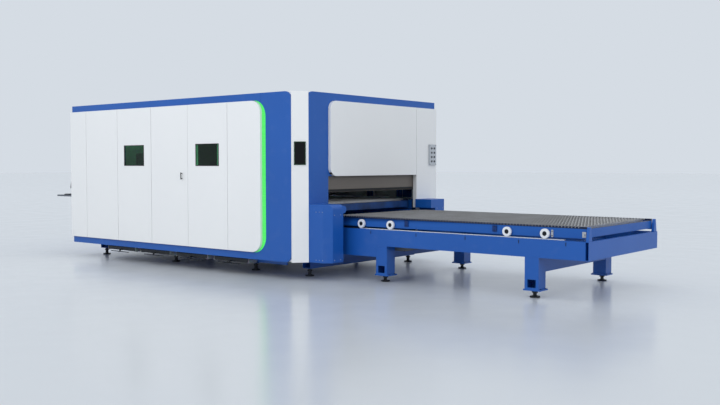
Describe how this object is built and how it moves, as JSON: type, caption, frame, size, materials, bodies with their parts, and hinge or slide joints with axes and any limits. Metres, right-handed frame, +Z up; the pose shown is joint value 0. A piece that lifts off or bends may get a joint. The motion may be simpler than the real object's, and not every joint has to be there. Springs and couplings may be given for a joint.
{
  "type": "fiber laser cutting machine",
  "caption": "Enclosed flatbed fiber laser cutting machine with side doors, a lifting gate, a gantry with cutting head and a wheeled exchange pallet on a station.",
  "frame": {"origin": "on the floor, at the middle of the overall length and width", "axes": "+X along the machine towards the exchange station, +Y across it away from the doors, +Z up"},
  "size_m": [8.6, 2.954, 2.2],
  "materials": {
    "blue_paint": "semi-gloss blue powder coat",
    "white_paint": "satin white powder coat",
    "grey_steel": "matt grey-brown sheet",
    "slat_steel": "bare cut steel",
    "ground_steel": "ground steel",
    "wheel_steel": "turned steel",
    "fitting_steel": "zinc plated",
    "black_steel": "black",
    "light_strip": "lit green diffuser",
    "window_glass": "dark green laser glass",
    "screen_black": "black glass front",
    "plate_grey": "light grey paint",
    "button_black": "dark caps",
    "cabinet_grey": "light grey paint",
    "gantry_white": "satin light paint",
    "head_grey": "dark grey anodised look"
  },
  "bodies": {
    "machine": {"bed_feet": "black_steel", "bed_frame": "blue_paint", "button_plate": "plate_grey", "console": "plate_grey", "corner_panels": "white_paint", "drive_motor": "plate_grey", "electrical_cabinet": "cabinet_grey", "end_frame": "blue_paint", "end_panels": "white_paint", "gantry_rails": "ground_steel", "guard_boxes": "blue_paint", "inner_sheetwork": "grey_steel", "laser_source": "cabinet_grey", "light_strips": "light_strip", "pallet_guides": "ground_steel", "rear_wall": "white_paint", "roof_panels": "white_paint", "side_frames": "blue_paint", "side_panels_far": "white_paint", "side_panels_near": "white_paint", "station_feet": "black_steel", "station_frame": "blue_paint", "station_rails": "ground_steel", "status_screen": "screen_black", "window_fixed": "window_glass"},
    "door_left": {"door_left": "white_paint", "door_handle": "black_steel"},
    "door_right": {"door_right": "white_paint", "window_door": "window_glass"},
    "gate": {"gate": "grey_steel"},
    "button_1": {"button_1": "button_black"},
    "button_2": {"button_2": "button_black"},
    "button_3": {"button_3": "button_black"},
    "button_4": {"button_4": "button_black"},
    "button_5": {"button_5": "button_black"},
    "button_6": {"button_6": "button_black"},
    "button_7": {"button_7": "button_black"},
    "button_8": {"button_8": "button_black"},
    "gantry": {"gantry": "gantry_white"},
    "head_carriage": {"head_carriage": "head_grey"},
    "cutting_head": {"cutting_head": "head_grey"},
    "pallet_b": {"pallet_b_frame": "blue_paint", "pallet_b_slats": "slat_steel"},
    "pallet_a": {"pallet_a_frame": "blue_paint", "pallet_a_slats": "slat_steel", "pallet_fittings": "fitting_steel"},
    "axle_a1": {"axle_a1": "wheel_steel"},
    "axle_a2": {"axle_a2": "wheel_steel"},
    "axle_a3": {"axle_a3": "wheel_steel"},
    "axle_a4": {"axle_a4": "wheel_steel"},
    "axle_b1": {"axle_b1": "wheel_steel"},
    "axle_b2": {"axle_b2": "wheel_steel"},
    "axle_b3": {"axle_b3": "wheel_steel"},
    "axle_b4": {"axle_b4": "wheel_steel"},
    "tray_1": {"tray_1": "black_steel"},
    "tray_2": {"tray_2": "black_steel"},
    "tray_3": {"tray_3": "black_steel"},
    "tray_4": {"tray_4": "black_steel"},
    "monitor": {"monitor": "screen_black"}
  },
  "joints": [
    {"name": "door_left_hinge", "type": "hinge", "parent": "machine", "child": "door_left", "pos_m": [-1.6915, -1.46, 1.2], "axis": [0, 0, -1], "range_deg": [0, 110]},
    {"name": "door_right_hinge", "type": "hinge", "parent": "machine", "child": "door_right", "pos_m": [-0.1965, -1.46, 1.2], "axis": [0, 0, 1], "range_deg": [0, 110]},
    {"name": "gate_lift", "type": "slide", "parent": "machine", "child": "gate", "axis": [0, 0, 1], "range_m": [-0.117, 0.187]},
    {"name": "button_1_press", "type": "slide", "parent": "machine", "child": "button_1", "axis": [-1, 0, 0], "range_m": [0, 0.004], "stiffness_N_per_m": 500},
    {"name": "button_2_press", "type": "slide", "parent": "machine", "child": "button_2", "axis": [-1, 0, 0], "range_m": [0, 0.004], "stiffness_N_per_m": 500},
    {"name": "button_3_press", "type": "slide", "parent": "machine", "child": "button_3", "axis": [-1, 0, 0], "range_m": [0, 0.004], "stiffness_N_per_m": 500},
    {"name": "button_4_press", "type": "slide", "parent": "machine", "child": "button_4", "axis": [-1, 0, 0], "range_m": [0, 0.004], "stiffness_N_per_m": 500},
    {"name": "button_5_press", "type": "slide", "parent": "machine", "child": "button_5", "axis": [-1, 0, 0], "range_m": [0, 0.004], "stiffness_N_per_m": 500},
    {"name": "button_6_press", "type": "slide", "parent": "machine", "child": "button_6", "axis": [-1, 0, 0], "range_m": [0, 0.004], "stiffness_N_per_m": 500},
    {"name": "button_7_press", "type": "slide", "parent": "machine", "child": "button_7", "axis": [-1, 0, 0], "range_m": [0, 0.004], "stiffness_N_per_m": 500},
    {"name": "button_8_press", "type": "slide", "parent": "machine", "child": "button_8", "axis": [-1, 0, 0], "range_m": [0, 0.004], "stiffness_N_per_m": 500},
    {"name": "gantry_travel", "type": "slide", "parent": "machine", "child": "gantry", "axis": [1, 0, 0], "range_m": [-1.5, 1.43]},
    {"name": "head_travel", "type": "slide", "parent": "gantry", "child": "head_carriage", "axis": [0, 1, 0], "range_m": [-0.8, 0.8]},
    {"name": "head_height", "type": "slide", "parent": "head_carriage", "child": "cutting_head", "axis": [0, 0, 1], "range_m": [-0.1, 0.02]},
    {"name": "inner_pallet_travel", "type": "slide", "parent": "machine", "child": "pallet_b", "axis": [1, 0, 0], "range_m": [-0.3, 0.06]},
    {"name": "outer_pallet_travel", "type": "slide", "parent": "machine", "child": "pallet_a", "axis": [1, 0, 0], "range_m": [-3.36, 0]},
    {"name": "axle_b1_spin", "type": "hinge", "parent": "pallet_b", "child": "axle_b1", "pos_m": [-1.91, 0, 0.797], "axis": [0, 1, 0], "range_deg": [-345, 70]},
    {"name": "axle_b2_spin", "type": "hinge", "parent": "pallet_b", "child": "axle_b2", "pos_m": [-1.487, 0, 0.797], "axis": [0, 1, 0], "range_deg": [-345, 70]},
    {"name": "axle_b3_spin", "type": "hinge", "parent": "pallet_b", "child": "axle_b3", "pos_m": [0.02, 0, 0.797], "axis": [0, 1, 0], "range_deg": [-345, 70]},
    {"name": "axle_b4_spin", "type": "hinge", "parent": "pallet_b", "child": "axle_b4", "pos_m": [0.45, 0, 0.797], "axis": [0, 1, 0], "range_deg": [-345, 70]},
    {"name": "axle_a1_spin", "type": "hinge", "parent": "pallet_a", "child": "axle_a1", "pos_m": [1.456, 0, 0.657], "axis": [0, 1, 0], "range_deg": [-3851, 0]},
    {"name": "axle_a2_spin", "type": "hinge", "parent": "pallet_a", "child": "axle_a2", "pos_m": [1.879, 0, 0.657], "axis": [0, 1, 0], "range_deg": [-3851, 0]},
    {"name": "axle_a3_spin", "type": "hinge", "parent": "pallet_a", "child": "axle_a3", "pos_m": [3.386, 0, 0.657], "axis": [0, 1, 0], "range_deg": [-3851, 0]},
    {"name": "axle_a4_spin", "type": "hinge", "parent": "pallet_a", "child": "axle_a4", "pos_m": [3.816, 0, 0.657], "axis": [0, 1, 0], "range_deg": [-3851, 0]},
    {"name": "tray_1_pull", "type": "slide", "parent": "machine", "child": "tray_1", "axis": [0, -1, 0], "range_m": [0, 0.16]},
    {"name": "tray_2_pull", "type": "slide", "parent": "machine", "child": "tray_2", "axis": [0, -1, 0], "range_m": [0, 0.16]},
    {"name": "tray_3_pull", "type": "slide", "parent": "machine", "child": "tray_3", "axis": [0, -1, 0], "range_m": [0, 0.16]},
    {"name": "tray_4_pull", "type": "slide", "parent": "machine", "child": "tray_4", "axis": [0, -1, 0], "range_m": [0, 0.16]},
    {"name": "monitor_tilt", "type": "hinge", "parent": "machine", "child": "monitor", "pos_m": [-3.84, -1.014, 1.105], "axis": [0, 1, 0], "range_deg": [-15, 15]}
  ],
  "couplings": [
    {"joint": "axle_b1_spin", "follows": "inner_pallet_travel", "rad_per_m": 20},
    {"joint": "axle_b2_spin", "follows": "inner_pallet_travel", "rad_per_m": 20},
    {"joint": "axle_b3_spin", "follows": "inner_pallet_travel", "rad_per_m": 20},
    {"joint": "axle_b4_spin", "follows": "inner_pallet_travel", "rad_per_m": 20},
    {"joint": "axle_a1_spin", "follows": "outer_pallet_travel", "rad_per_m": 20},
    {"joint": "axle_a2_spin", "follows": "outer_pallet_travel", "rad_per_m": 20},
    {"joint": "axle_a3_spin", "follows": "outer_pallet_travel", "rad_per_m": 20},
    {"joint": "axle_a4_spin", "follows": "outer_pallet_travel", "rad_per_m": 20}
  ]
}
